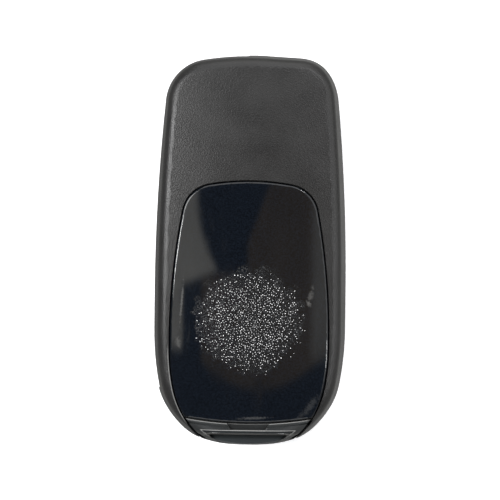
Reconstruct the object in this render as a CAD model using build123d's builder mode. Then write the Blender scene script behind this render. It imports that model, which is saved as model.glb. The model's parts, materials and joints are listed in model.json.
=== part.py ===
from build123d import *

import os
from math import asin, cos, degrees, radians, sin

# Flip remote key, lying on its button face with the battery cover up.
# Millimetres. +Y is the head, where the blade is hinged, +X is right seen from the cover
# side, and +Z is up. The blade is folded into the left side of the housing.

# Housing
key_length = 77.8
key_width = 38.4
key_height = 15.5
parting_height = 7.1
shell_wall = 1.5
crown_radius_across = 120
crown_radius_along = 500
back_draft = 12
front_draft = 8
back_shoulder = 2.5
front_shoulder = 3.5
least_round = 0.4
half_lap = 0.7
lap_height = 0.8
fit_gap = 0.1

# Outline of the housing: tangent arcs from the middle of the head to the middle of the tail.
# Each arc runs between two directions of its outward normal, counted from +Y.
head_radius = 58
flank_radius = 392
hip_radius = 58
tail_radius = 24.4
outline_normals = (0, 9.6, 84.5, 90, 101, 154.4, 180)

# Battery cover and the opening it closes
cover_wall = 1.3
cover_reach = 52.5
cover_low = 12.0
cover_edge = 0.5
cover_radii = (46.6, 6.5, 134, 37.7, 18.9)
cover_normals = (0, 10, 79.2, 90, 101.7, 132)
cover_straight = 2.1
cover_gap = 0.2
cover_tail_reach = 4.9
cover_tail_radius = 78
tab_width = 5
tab_reach = 1.7
tab_root = 1.2
tab_thickness = 1
tab_spacing = 11
tongue_width = 7
tongue_wall = 0.8
tongue_low = 11.7
tab_room = 11.5

# Folding head
hub_from_side = 10.2
hub_from_head = 11.3
hub_radius = 6.4
hub_low = 3.0
hub_high = 11.6
hub_bore = 2.3
hub_cup_radius = 4.9
hub_cup_floor = 8.0
spline_width = 1.2
spline_radius = 3.2
collar_wall = 1.1
blade_offset = 4.0
blade_width = 8.2
blade_thickness = 2.6
blade_reach = 54.0
holder_reach = 12.0
holder_thickness = 2.8
tang_width = 5.6
tang_thickness = 1.4
tang_depth = 7.4
pin_radius = 0.8
tip_length = 3.2
tip_width = 3.6
tip_round = 0.8
track_width = 2.2
track_depth = 0.7
track_pitch = 2.6
track_offsets = (0, 0.9, 0.9, -0.6, 1.1, -1.0, -1.0, 0.5, -0.8, 1.0, 0, 0)
slot_gap = 0.2
liner_wall = 0.6
side_gap = 0.3

# Flip spring and its anchor
spring_wire = 0.7
spring_radius = 3.95
spring_turns = 2.25
anchor_radius = 4.6
anchor_thickness = 0.6

# Release button
release_radius = 4.6
release_face = 0.35
release_flange_radius = 5.2
release_flange = 0.8
release_travel = 1.8
release_dish_radius = 14
release_dish = 0.35

# Tail insert and key ring bar
insert_reach = 7.9
insert_wall = 1.2
insert_gap = 0.22
insert_edge = 0.3
bar_depth = 2.2
bar_low = 5.6
bar_high = 9.6
bar_round = 0.8
ring_slot_width = 17.0
ring_slot_roof = 11.5
window_reach = 3.05
window_width = 17.4
window_end_width = 13.0
window_length = 2.0
ledge_width = 0.8
ledge_depth = 0.25
notch_width = 8.6
notch_end_width = 6.8
notch_length = 1.2
notch_depth = 0.9
notch_start = 0.3
notch_corner = 0.7
notch_edge = 0.2

# Chassis tray and battery
tray_thickness = 0.6
rim_out = 0.9
rim_in = 1.0
cell_radius = 10
cell_height = 3.2
cell_step = 0.5
cell_round = 0.3
cell_x = 1.0
cell_from_head = 22.6
contact_sheet = 0.2
contact_width = 3.4
contact_foot = 1.4
cell_fence = 0.9
cell_fence_height = 1.6
contact_room = 0.4
minus_reach = 6.2

# Circuit board
board_low = 5.9
board_thickness = 1.0
board_gap = 0.7
board_from_side = 3.0
board_from_hub = 10.2
switch_side = 4.6
switch_body = 1.1
switch_height = 1.5

remote_chip_side = 5.0
crystal_size = (3.2, 2.5)
low_part_height = 0.9
coil_side = 6.4
coil_height = 2.0
coil_bore = 2.3
can_round = 0.5
passive_size = (0.8, 1.6, 0.5)
passive_pitch = 1.6
passive_count = 5

# Buttons on the front face
button_spacing = 13
button_middle = -3
button_length = 8.4
button_corner = 3.2
button_gap = 0.15
key_rim = 3.1
button_face = 0.3
button_flange = 0.6
flange_step = 0.5
dish_radius = 60
dish_depth = 0.4
bezel_length = 42
bezel_corner = 6.5
bezel_plate = 0.8
bezel_step = 1.7
bezel_plug = 2.0
bezel_ring = 0.6
mat_web = 3.4
mat_thickness = 0.6
mat_rim = 1.0
mat_rim_inset = 2.3
dome_radius = 3.2
dome_top_radius = 2.4
plunger_radius = 1.1

# Case screws
screw_radius = 0.95
screw_head_radius = 1.9
screw_head = 1.1
screw_head_round = 0.4
screw_tip = 2.6
recess_length = 2.2
recess_width = 0.6
recess_depth = 0.7
boss_radius = 2.3
boss_shoulder = 2.7
screw_from_cell = 9.7
screw_spread = 31.0

# Transponder in the head
chip_from_side = 10.2
chip_length = 11.0
chip_width = 5.6
chip_height = 3.0
chip_round = 0.6
chip_fence = 0.8
chip_fence_height = 1.6

half_length = key_length / 2
half_width = key_width / 2
everything = 2 * key_length
tail_end = -half_length
cover_head = tail_end + cover_reach
cover_tail = tail_end + cover_tail_reach
insert_front = tail_end + insert_reach
window_edge = tail_end + window_reach
bar_front = tail_end + bar_depth

hub_x = hub_from_side - half_width
hub_y = half_length - hub_from_head
slot_low = parting_height - holder_thickness / 2 - slot_gap
slot_high = parting_height + holder_thickness / 2 + slot_gap
folded_x = hub_x - blade_offset
unfolded_x = hub_x + blade_offset
bore_radius = hub_radius + fit_gap
bore_top = hub_high + fit_gap
blade_side = folded_x + blade_width / 2 + side_gap

tray_floor = slot_high + liner_wall
cell_floor = tray_floor + tray_thickness
cell_y = cover_head - cell_from_head
screw_x = cell_x + screw_from_cell
screw_middle = cover_head - cell_from_head - 1
screw_places = [(screw_x, screw_middle + shift) for shift in (screw_spread / 2, -screw_spread / 2)]

board_high = board_low + board_thickness
board_left = blade_side + liner_wall + board_gap
board_right = half_width - board_from_side
board_head = hub_y - board_from_hub
board_tail = insert_front + insert_wall - fit_gap
# the surround's inner body reaches almost to the lining of the blade's room
bezel_width = 2 * (bezel_step + fit_gap - (blade_side + liner_wall + side_gap))
button_width = bezel_width - 2 * key_rim
button_places = [button_middle + button_spacing * step for step in (1, 0, -1)]
chip_x = half_width - chip_from_side
chip_y = hub_y


# The two arcs left over close the outline on the given width, and the straight of the side
# takes up the length.
def housing_arcs():
    sines = [sin(radians(turn)) for turn in outline_normals]
    cosines = [cos(radians(turn)) for turn in outline_normals]
    corner = (half_width - head_radius * sines[1] - flank_radius * (1 - sines[2])) / (sines[2] - sines[1])
    waist = half_width - hip_radius * (1 - sines[4]) - tail_radius * sines[5]
    haunch = waist / (sines[4] - sines[5])
    radii = (head_radius, corner, flank_radius, hip_radius, haunch, tail_radius)
    drops = [radius * (a - b) for radius, a, b in zip(radii, cosines, cosines[1:])]
    return radii, key_length - sum(drops)


# One half of an outline, drawn into the line builder that is open.
def half_outline(head, radii, normals, straight, inset):
    point = Vector(0, head - inset)
    heading = Vector(-1, 0)
    for radius, start, end in zip(radii, normals, normals[1:]):
        arc = JernArc(point, heading, radius - inset, end - start)
        point = arc @ 1
        heading = arc % 1
        if end == 90:
            side = Line(point, point + heading * straight)
            point = side @ 1
    return point, heading


def housing_outline(inset):
    radii, straight = housing_arcs()
    with BuildSketch() as region:
        with BuildLine():
            half_outline(half_length, radii, outline_normals, straight, inset)
            mirror(about=Plane.YZ)
        make_face()
    return region.sketch


# The opening for the cover and the tail insert, which runs on past the tail.
def opening(inset):
    with BuildSketch() as region:
        with BuildLine():
            point, heading = half_outline(cover_head, cover_radii, cover_normals, cover_straight, inset)
            leg = Line(point, point + heading * ((tail_end - shell_wall - point.Y) / heading.Y))
            mirror(about=Plane.YZ)
            Line(leg @ 1, (-(leg @ 1).X, (leg @ 1).Y))
        make_face()
    return region.sketch


def slab(region, low, high):
    with BuildPart() as block:
        with BuildSketch(Plane.XY.offset(low)):
            add(region)
        extrude(amount=high - low)
    return block.part


def box_between(left, right, tail, head, low, high):
    with BuildPart() as block:
        with Locations(((left + right) / 2, (tail + head) / 2, (low + high) / 2)):
            Box(right - left, head - tail, high - low)
    return block.part


# The closed form of the housing, drawn in by an inset: drafted sides on both sides of the
# parting line, a crowned back and rounded shoulders.
def form(inset):
    top = key_height - inset
    across = crown_radius_across - inset
    along = crown_radius_along - inset
    edge = top - across + (across**2 - key_width**2) ** 0.5
    swing = 2 * degrees(asin((half_length + back_shoulder) / along))
    axis = Axis((0, 0, top - along), (1, 0, 0))
    with BuildPart() as crown:
        with BuildSketch(Plane.XZ):
            with BuildLine():
                ThreePointArc((-key_width, edge), (0, top), (key_width, edge))
                base = -key_height
                Polyline((key_width, edge), (key_width, base), (-key_width, base), (-key_width, edge))
            make_face()
        revolve(axis=axis, revolution_arc=swing)
    with BuildPart() as body:
        with BuildSketch(Plane.XY.offset(parting_height)):
            add(housing_outline(inset))
        extrude(amount=key_height, taper=back_draft)
        with BuildSketch(Plane.XY.offset(parting_height)):
            add(housing_outline(inset))
        extrude(amount=inset - parting_height, taper=front_draft)
        add(crown.part.rotate(axis, -swing / 2), mode=Mode.INTERSECT)
        fillet(body.faces().sort_by(Axis.Z)[-1].edges(), max(back_shoulder - inset, least_round))
        fillet(body.faces().sort_by(Axis.Z)[0].edges(), max(front_shoulder - inset, least_round))
    return body.part


# The room that the folding head and the blade sweep, drawn outwards by a wall.
def blade_room(wall):
    with BuildSketch() as region:
        with Locations((hub_x, hub_y)):
            Circle(bore_radius + wall)
        right = blade_side + wall
        tail = hub_y - blade_reach - 4 * side_gap - wall
        with Locations((right - key_width / 2, (hub_y + tail) / 2)):
            Rectangle(key_width, hub_y - tail)
        right = unfolded_x + blade_width / 2 + side_gap + wall
        with Locations((right - key_width / 2, hub_y + key_width / 2)):
            Rectangle(key_width, key_width)
    return region.sketch


# A disc about the hub.
def disc(radius):
    with BuildSketch() as region:
        with Locations((hub_x, hub_y)):
            Circle(radius)
    return region.sketch


# The surround of the keys, drawn in by an inset.
def surround(inset):
    with BuildSketch() as region:
        with Locations((0, button_middle)):
            RectangleRounded(bezel_width - 2 * inset, bezel_length - 2 * inset, bezel_corner - inset)
    return region.sketch


def chip_pocket(wall):
    with BuildSketch() as region:
        with Locations((chip_x, chip_y)):
            Rectangle(chip_length + 2 * wall, chip_width + 2 * wall)
    return region.sketch


print("housing")

# The bore that the hub turns in, and the seat of the spring anchor in the roof over it.
def hub_room():
    with BuildPart() as room:
        add(slab(disc(bore_radius), shell_wall, bore_top))
        add(slab(disc(anchor_radius), bore_top, bore_top + anchor_thickness))
    return room.part


# The floor, roof and walls of the blade's room, and the collar that the hub turns in.
def trough():
    with BuildPart() as lining:
        add(slab(blade_room(liner_wall), slot_low - liner_wall, slot_high + liner_wall))
        add(form(shell_wall), mode=Mode.INTERSECT)
        add(slab(disc(bore_radius + collar_wall), shell_wall, key_height).intersect(form(0)))
        add(hub_room(), mode=Mode.SUBTRACT)
    return lining.part


# Everything between two heights, and everything on the tail side of a line.
def layer(low, high):
    return box_between(-everything, everything, -everything, everything, low, high)


def behind(line):
    return box_between(-everything, everything, -everything, line, -everything, everything)


def tail_room():
    with BuildPart() as room:
        add(slab(opening(0), -1, everything))
        add(behind(insert_front + fit_gap), mode=Mode.INTERSECT)
    return room.part


# One half of the hollow housing with its half of the blade trough.
def housing_half(low, high):
    with BuildPart() as half:
        add(form(0))
        add(form(shell_wall), mode=Mode.SUBTRACT)
        add(layer(low, high), mode=Mode.INTERSECT)
        add(hub_room(), mode=Mode.SUBTRACT)
        add(trough().intersect(layer(low, high)))
        add(slab(blade_room(0), slot_low, slot_high), mode=Mode.SUBTRACT)
    return half.part


# The inner half of the wall, which stands up from the front half into the back half along the
# parting line, away from the blade's trough and the tail.
def lap(gap):
    with BuildPart() as ring:
        add(form(shell_wall - half_lap + gap))
        add(form(shell_wall), mode=Mode.SUBTRACT)
        add(layer(parting_height, parting_height + lap_height - gap), mode=Mode.INTERSECT)
        add(slab(blade_room(liner_wall + gap), 0, key_height), mode=Mode.SUBTRACT)
        add(slab(disc(bore_radius + collar_wall + gap), 0, key_height), mode=Mode.SUBTRACT)
        beside_insert = behind(insert_front + side_gap + gap)
        add(slab(opening(-gap), 0, key_height).intersect(beside_insert)[0], mode=Mode.SUBTRACT)
    return ring.part


def keep(piece, name):
    piece.part.label = name
    export_step(piece.part, f"parts/{name}.step")
    box = piece.part.bounding_box()
    low = [round(value, 2) for value in box.min]
    high = [round(value, 2) for value in box.max]
    print(name, piece.part.is_valid, len(piece.part.solids()), round(piece.part.volume, 1), low, high)


os.makedirs("parts", exist_ok=True)

with BuildPart() as back_shell:
    add(housing_half(parting_height, everything))
    add(slab(opening(0), tray_floor, everything), mode=Mode.SUBTRACT)
    add(tail_room(), mode=Mode.SUBTRACT)
    add(lap(0), mode=Mode.SUBTRACT)
keep(back_shell, "back_shell")

with BuildPart() as front_shell:
    add(housing_half(-1, parting_height))
    add(tail_room(), mode=Mode.SUBTRACT)
    add(lap(fit_gap))
    # posts for the screws, with a shoulder under the circuit board
    for radius, top in ((boss_shoulder, board_low), (boss_radius, tray_floor)):
        with BuildSketch(Plane.XY.offset(shell_wall)):
            with Locations(screw_places):
                Circle(radius)
        extrude(amount=top - shell_wall)
    with BuildSketch(Plane.XY.offset(screw_tip)):
        with Locations(screw_places):
            Circle(screw_radius)
    extrude(amount=tray_floor - screw_tip, mode=Mode.SUBTRACT)
    # recess and opening for the key surround
    add(slab(surround(0), 0, bezel_plate), mode=Mode.SUBTRACT)
    add(slab(surround(bezel_step), 0, shell_wall), mode=Mode.SUBTRACT)
    # hole of the release button
    add(slab(disc(release_radius + fit_gap), 0, shell_wall), mode=Mode.SUBTRACT)
    # fence that holds the transponder on the floor
    add(slab(chip_pocket(chip_fence), shell_wall, shell_wall + chip_fence_height))
    add(slab(chip_pocket(0), shell_wall, shell_wall + chip_fence_height), mode=Mode.SUBTRACT)
keep(front_shell, "front_shell")

print("battery cover")
tail_centre = cover_tail + cover_tail_radius


# Everything on the head side of the cover's tail line, moved by a shift.
def ahead_of_tail(shift):
    with BuildSketch() as region:
        with Locations((0, tail_centre + shift)):
            Circle(cover_tail_radius)
    return slab(region.sketch, -2, everything)


tab_top = shell_wall + fit_gap
tongue_tail = insert_front + side_gap
tongue_high = key_height - cover_wall / 2 - tongue_tail**2 / 2 / crown_radius_along
tongue_side = tongue_width / 2
with BuildPart() as battery_cover:
    add(slab(opening(cover_gap), cover_low, everything))
    add(form(0), mode=Mode.INTERSECT)
    add(form(cover_wall), mode=Mode.SUBTRACT)
    add(ahead_of_tail(cover_gap), mode=Mode.INTERSECT)
    fillet(battery_cover.faces().sort_by(SortBy.AREA)[-1].edges(), cover_edge)
    # tongue in front of the tail insert
    tongue_head = tongue_tail + tongue_wall
    add(box_between(-tongue_side, tongue_side, tongue_tail, tongue_head, tongue_low, tongue_high))
    # tabs that tuck under the back shell, each on a root under the cover
    for side in (-1, 1):
        left = side * tab_spacing / 2 - tab_width / 2
        right = left + tab_width
        back = cover_head - 2 * tab_reach
        reach = box_between(left, right, back, cover_head + tab_reach, hub_low, key_height)
        root = box_between(left, right, back, cover_head - tab_root, hub_low, key_height)
        add(reach.intersect(form(tab_top))[0] - form(tab_top + tab_thickness))
        add(root.intersect(form(cover_wall / 2))[0] - form(tab_top + tab_thickness))
keep(battery_cover, "battery_cover")

print("chassis")
with BuildPart() as ledge_tool:
    add(ahead_of_tail(-ledge_width))
    add(form(ledge_depth), mode=Mode.SUBTRACT)
    add(layer(parting_height, everything), mode=Mode.INTERSECT)
with BuildPart() as cover_tool:
    add(ahead_of_tail(0))
    add(form(cover_wall + fit_gap), mode=Mode.SUBTRACT)
    add(layer(parting_height, everything), mode=Mode.INTERSECT)


def trapezoid(head, tail, wide, narrow):
    with BuildSketch() as region:
        with BuildLine():
            Polyline((wide, head), (-wide, head), (-narrow, tail), (narrow, tail), (wide, head))
        make_face()
    return region.sketch


notch_head = cover_tail + notch_start
with BuildPart() as notch_tool:
    notch_tail = cover_tail - notch_length
    add(slab(trapezoid(notch_head, notch_tail, notch_width / 2, notch_end_width / 2), 0, everything))
    fillet(notch_tool.edges().filter_by(Axis.Z).group_by(Axis.Y)[0], notch_corner)
    add(form(notch_depth), mode=Mode.SUBTRACT)
    add(layer(parting_height, everything), mode=Mode.INTERSECT)


# The window round the ring bar, slanting in to the end of the key.
def window():
    end = window_edge - window_length
    wide = window_width / 2
    narrow = window_end_width / 2
    with BuildPart() as hole:
        add(slab(trapezoid(window_edge, end, wide, narrow), -1, everything))
        add(box_between(-narrow, narrow, -everything, end, -1, everything))
    return hole.part


with BuildPart() as insert:
    add(slab(opening(insert_gap), -1, everything))
    add(form(0), mode=Mode.INTERSECT)
    add(behind(insert_front), mode=Mode.INTERSECT)
    add(cover_tool.part, mode=Mode.SUBTRACT)
    add(ledge_tool.part, mode=Mode.SUBTRACT)
    add(notch_tool.part, mode=Mode.SUBTRACT)
    ring_half = ring_slot_width / 2
    slot_head = insert_front - insert_wall
    add(box_between(-ring_half, ring_half, bar_front, slot_head, -1, ring_slot_roof), mode=Mode.SUBTRACT)
    add(window().intersect(layer(bar_high, everything))[0], mode=Mode.SUBTRACT)
    add(window().intersect(layer(-everything, bar_low))[0], mode=Mode.SUBTRACT)
    # soft rims of the notch, of the wall along the cover and of the window
    at_notch = insert.edges().filter_by_position(Axis.Y, notch_tail - fit_gap, notch_tail + fit_gap)
    fillet(at_notch.sort_by(Axis.Z)[-1], notch_edge)
    at_cover = insert.edges().filter_by_position(Axis.Y, cover_tail - side_gap, cover_tail + side_gap)
    fillet(at_cover.sort_by(SortBy.LENGTH)[-4:-1], insert_edge)
    at_window = insert.edges().filter_by_position(Axis.Y, window_edge - fit_gap, window_edge + fit_gap)
    chamfer(at_window.sort_by(Axis.Z)[-1], insert_edge)
    # rounded inner edges of the bar that the ring slides on
    for level, side in ((bar_low + bar_round, Align.MAX), (bar_high - bar_round, Align.MIN)):
        with BuildSketch(Plane.YZ):
            with Locations((bar_front - bar_round, level)):
                Rectangle(bar_round, bar_round, align=(Align.MIN, side))
                Circle(bar_round, mode=Mode.SUBTRACT)
        extrude(amount=ring_half, both=True, mode=Mode.SUBTRACT)

plus_side = cell_x + cell_radius
contact_half = contact_width / 2
minus_tail = cell_y + minus_reach - contact_sheet
plus_window = (
    plus_side - contact_room,
    plus_side + contact_sheet + contact_room,
    cell_y - contact_half - contact_room,
    cell_y + contact_half + contact_room,
)
minus_window = (
    cell_x - contact_half - contact_room,
    cell_x + contact_half + contact_room,
    minus_tail - contact_room,
    minus_tail + contact_sheet + contact_room,
)
with BuildPart() as chassis:
    add(slab(opening(-rim_out), tray_floor, everything))
    add(slab(opening(rim_in), cell_floor, everything), mode=Mode.SUBTRACT)
    # room for the tabs of the cover
    for side in (-1, 1):
        left = side * tab_spacing / 2 - tab_width / 2 - side_gap
        right = left + tab_width + 2 * side_gap
        tail = cover_head - 2 * tab_reach
        head = cover_head + 2 * tab_reach
        add(box_between(left, right, tail, head, tab_room, everything), mode=Mode.SUBTRACT)
    add(form(shell_wall), mode=Mode.INTERSECT)
    add(behind(insert_front - insert_wall), mode=Mode.SUBTRACT)
    # fence round the coin cell
    with BuildSketch(Plane.XY.offset(cell_floor)):
        with Locations((cell_x, cell_y)):
            Circle(cell_radius + side_gap + cell_fence)
            Circle(cell_radius + side_gap, mode=Mode.SUBTRACT)
    extrude(amount=cell_fence_height)
    # windows for the two contacts and holes for the screws
    for left, right, tail, head in (plus_window, minus_window):
        add(box_between(left, right, tail, head, 0, everything), mode=Mode.SUBTRACT)
    with BuildSketch(Plane.XY.offset(tray_floor)):
        with Locations(screw_places):
            Circle(screw_radius + fit_gap)
    extrude(amount=tray_thickness, mode=Mode.SUBTRACT)
    add(insert.part)
keep(chassis, "chassis")

print("folding head")


# A strip along the blade's line, between two distances from the hub.
def blade_strip(width, near, far, low, high):
    return box_between(folded_x - width / 2, folded_x + width / 2, hub_y - far, hub_y - near, low, high)


def splines(radius, width):
    with BuildSketch() as region:
        with Locations((hub_x, hub_y)):
            Rectangle(2 * radius, width)
            Rectangle(width, 2 * radius)
        add(disc(radius), mode=Mode.INTERSECT)
    return region.sketch


cup_low = hub_low + release_travel - fit_gap
holder_low = parting_height - holder_thickness / 2
holder_high = parting_height + holder_thickness / 2
with BuildPart() as blade_holder:
    add(slab(disc(hub_radius), hub_low, hub_high))
    add(blade_strip(blade_width, side_gap, holder_reach, holder_low, holder_high))
    add(slab(disc(hub_cup_radius), hub_cup_floor, hub_high), mode=Mode.SUBTRACT)
    add(slab(disc(release_flange_radius + fit_gap), hub_low, cup_low), mode=Mode.SUBTRACT)
    add(slab(disc(hub_bore), hub_low, hub_high), mode=Mode.SUBTRACT)
    add(slab(splines(spline_radius, spline_width), hub_low, hub_high), mode=Mode.SUBTRACT)
    tang_low = parting_height - tang_thickness / 2
    tang_high = parting_height + tang_thickness / 2
    tang_near = holder_reach - tang_depth
    add(blade_strip(tang_width, tang_near, holder_reach, tang_low, tang_high), mode=Mode.SUBTRACT)
    pin_y = hub_y - holder_reach + tang_depth / 2
    with BuildSketch(Plane.XY.offset(holder_low)):
        with Locations((folded_x, pin_y)):
            Circle(pin_radius)
    extrude(amount=holder_thickness, mode=Mode.SUBTRACT)
keep(blade_holder, "blade_holder")


def blade_outline():
    shoulder = hub_y - holder_reach
    tip = hub_y - blade_reach
    half = blade_width / 2
    nose = tip_width / 2
    with BuildSketch() as region:
        with BuildLine():
            FilletPolyline(
                (folded_x - half, shoulder),
                (folded_x - half, tip + tip_length),
                (folded_x - nose, tip),
                (folded_x + nose, tip),
                (folded_x + half, tip + tip_length),
                (folded_x + half, shoulder),
                radius=tip_round,
            )
            Line((folded_x + half, shoulder), (folded_x - half, shoulder))
        make_face()
    return region.sketch


# The wavy track milled into both faces of the blade.
def track():
    points = []
    for step, shift in enumerate(track_offsets):
        points.append((folded_x + shift, hub_y - blade_reach - 1 + track_pitch * step))
    with BuildSketch() as region:
        with BuildLine():
            FilletPolyline(*points, radius=track_pitch / 4)
            offset(amount=track_width / 2, side=Side.BOTH)
        make_face()
    return region.sketch


blade_low = parting_height - blade_thickness / 2
blade_high = parting_height + blade_thickness / 2
with BuildPart() as key_blade:
    add(slab(blade_outline(), blade_low, blade_high))
    add(slab(track(), blade_low, blade_low + track_depth), mode=Mode.SUBTRACT)
    add(slab(track(), blade_high - track_depth, blade_high), mode=Mode.SUBTRACT)
    add(blade_strip(tang_width, tang_near, holder_reach + 1, tang_low, tang_high))
    with BuildSketch(Plane.XY.offset(holder_low)):
        with Locations((folded_x, pin_y)):
            Circle(pin_radius)
    extrude(amount=holder_thickness, mode=Mode.SUBTRACT)
keep(key_blade, "key_blade")

with BuildPart() as blade_pin:
    with BuildSketch(Plane.XY.offset(holder_low)):
        with Locations((folded_x, pin_y)):
            Circle(pin_radius)
    extrude(amount=holder_thickness)
keep(blade_pin, "blade_pin")

with BuildPart() as flip_spring:
    spring_rise = bore_top - hub_cup_floor - spring_wire - fit_gap
    with BuildLine() as coil:
        Helix(
            pitch=spring_rise / spring_turns,
            height=spring_rise,
            radius=spring_radius,
            center=(hub_x, hub_y, hub_cup_floor + spring_wire / 2 + fit_gap / 2),
        )
    with BuildSketch(Plane(coil.line @ 0, z_dir=coil.line % 0)):
        Circle(spring_wire / 2)
    sweep()
keep(flip_spring, "flip_spring")

with BuildPart() as spring_anchor:
    add(slab(disc(anchor_radius), bore_top, bore_top + anchor_thickness))
    add(slab(disc(hub_bore), bore_top - anchor_thickness, bore_top))
keep(spring_anchor, "spring_anchor")

with BuildPart() as release_button:
    flange_low = shell_wall + fit_gap
    flange_high = flange_low + release_flange
    stem_top = bore_top - anchor_thickness - release_travel - 2 * fit_gap
    add(slab(disc(release_radius), release_face, flange_high))
    add(slab(disc(release_flange_radius), flange_low, flange_high))
    add(slab(disc(hub_bore - fit_gap), flange_high, stem_top))
    add(slab(splines(spline_radius - fit_gap, spline_width - 2 * fit_gap), flange_high, hub_cup_floor))
    # shallow dish for the thumb
    with Locations((hub_x, hub_y, release_face + release_dish - release_dish_radius)):
        Sphere(release_dish_radius, mode=Mode.SUBTRACT)
keep(release_button, "release_button")

print("keys and surround")


def key_outline(place, grow):
    with BuildSketch() as region:
        with Locations((0, place)):
            RectangleRounded(button_width + 2 * grow, button_length + 2 * grow, button_corner + grow)
    return region.sketch


# The hollow across the key field, a shallow trough along the key.
def dish(depth):
    with BuildPart() as roll:
        with Locations(Location((0, button_middle, depth - dish_radius), (90, 0, 0))):
            Cylinder(dish_radius, bezel_length)
    return roll.part


with BuildPart() as keypad_bezel:
    add(slab(surround(fit_gap / 2), 0, bezel_plate))
    add(slab(surround(bezel_step + fit_gap), 0, mat_web))
    add(slab(surround(bezel_step + fit_gap + bezel_ring), bezel_plug, mat_web), mode=Mode.SUBTRACT)
    for place in button_places:
        add(slab(key_outline(place, button_gap), -1, mat_web), mode=Mode.SUBTRACT)
    add(dish(dish_depth), mode=Mode.SUBTRACT)
keep(keypad_bezel, "keypad_bezel")

flange_low = bezel_plug + fit_gap
flange_high = flange_low + button_flange
for name, place in zip(("lock_button", "unlock_button", "boot_button"), button_places):
    with BuildPart() as button:
        add(slab(key_outline(place, 0), 0, flange_high))
        add(dish(button_face), mode=Mode.SUBTRACT)
        add(slab(key_outline(place, flange_step), flange_low, flange_high))
    keep(button, name)

mat_back = mat_web + mat_thickness
switch_face = board_low - switch_height
with BuildPart() as keypad_mat:
    add(slab(surround(bezel_step + fit_gap), mat_web, mat_back))
    add(slab(surround(mat_rim_inset), mat_web, board_low))
    add(slab(surround(mat_rim_inset + mat_rim), mat_back, board_low), mode=Mode.SUBTRACT)
    with Locations([(0, place, (flange_high + mat_web) / 2) for place in button_places]):
        Cone(dome_top_radius, dome_radius, mat_web - flange_high, rotation=(0, 0, 0))
    with BuildSketch(Plane.XY.offset(mat_back)):
        with Locations([(0, place) for place in button_places]):
            Circle(plunger_radius)
    extrude(amount=switch_face - mat_back)
keep(keypad_mat, "keypad_mat")

print("electronics")
with BuildPart() as circuit_board:
    add(box_between(board_left, board_right, board_tail, board_head, board_low, board_high))
    add(slab(housing_outline(shell_wall + 3 * fit_gap), 0, key_height), mode=Mode.INTERSECT)
    with BuildSketch(Plane.XY.offset(board_low)):
        with Locations(screw_places):
            Circle(boss_radius + fit_gap)
    extrude(amount=board_thickness, mode=Mode.SUBTRACT)
keep(circuit_board, "circuit_board")

with BuildPart() as tactile_switches:
    with Locations([(0, place, board_low - switch_body / 2) for place in button_places]):
        Box(switch_side, switch_side, switch_body)
    with Locations([(0, place, board_low - (switch_height + switch_body) / 2) for place in button_places]):
        Cylinder(plunger_radius, switch_height - switch_body)
keep(tactile_switches, "tactile_switches")


# A flat part that stands on the back of the board.
def on_board(middle_x, middle_y, across, along, height):
    with Locations((middle_x, middle_y, board_high + height / 2)):
        Box(across, along, height)


chip_row = board_head - remote_chip_side
with BuildPart() as remote_chip:
    on_board(button_width / 2, chip_row, remote_chip_side, remote_chip_side, low_part_height)
keep(remote_chip, "remote_chip")

with BuildPart() as crystal_can:
    on_board(0, chip_row, *crystal_size, low_part_height)
    fillet(crystal_can.edges().filter_by(Axis.Z), can_round)
keep(crystal_can, "crystal_can")

coil_x = board_left + board_gap + coil_side / 2
coil_y = board_tail + coil_side
with BuildPart() as antenna_coil:
    on_board(coil_x, coil_y, coil_side, coil_side, coil_height)
    with BuildSketch(Plane.XY.offset(board_high + coil_height)):
        with Locations((coil_x, coil_y)):
            Circle(coil_bore)
    extrude(amount=-coil_height / 2, mode=Mode.SUBTRACT)
keep(antenna_coil, "antenna_coil")

passive_wide, passive_long, passive_high = passive_size
with BuildPart() as board_passives:
    for step in range(passive_count):
        run = passive_pitch * (step + 2)
        on_board(board_left + run, board_head - passive_pitch, passive_wide, passive_long, passive_high)
        on_board(screw_x + passive_pitch, cell_y - run, passive_long, passive_wide, passive_high)
keep(board_passives, "board_passives")

with BuildPart() as transponder_chip:
    add(slab(chip_pocket(-fit_gap / 2), shell_wall, shell_wall + chip_height))
    fillet(transponder_chip.edges().filter_by(Axis.Z), chip_round)
keep(transponder_chip, "transponder_chip")

print("battery and contacts")
cell_low = cell_floor + contact_sheet
with BuildPart() as coin_cell:
    with BuildSketch(Plane.XY.offset(cell_low)):
        with Locations((cell_x, cell_y)):
            Circle(cell_radius - cell_step)
    extrude(amount=cell_step)
    with BuildSketch(Plane.XY.offset(cell_low + cell_step)):
        with Locations((cell_x, cell_y)):
            Circle(cell_radius)
    extrude(amount=cell_height - cell_step)
    fillet(coin_cell.faces().sort_by(Axis.Z)[-1].edges(), cell_round)
keep(coin_cell, "coin_cell")


# A bent contact's strip, across its own width.
def strip(middle_x, tail, head, low, high):
    return box_between(middle_x - contact_half, middle_x + contact_half, tail, head, low, high)


plus_top = cell_low + cell_height - cell_step
plus_low = cell_y - contact_half
plus_high = cell_y + contact_half
foot_top = board_high + contact_sheet
with BuildPart() as battery_contact_plus:
    add(box_between(plus_side, plus_side + contact_sheet, plus_low, plus_high, board_high, plus_top))
    add(box_between(plus_side, plus_side + contact_foot, plus_low, plus_high, board_high, foot_top))
keep(battery_contact_plus, "battery_contact_plus")

minus_head = minus_tail + contact_sheet
with BuildPart() as battery_contact_minus:
    add(strip(cell_x, cell_y - contact_half, minus_head, cell_floor, cell_low))
    add(strip(cell_x, minus_tail, minus_head, board_high, cell_low))
    add(strip(cell_x, minus_tail, minus_tail + contact_foot, board_high, foot_top))
keep(battery_contact_minus, "battery_contact_minus")

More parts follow.
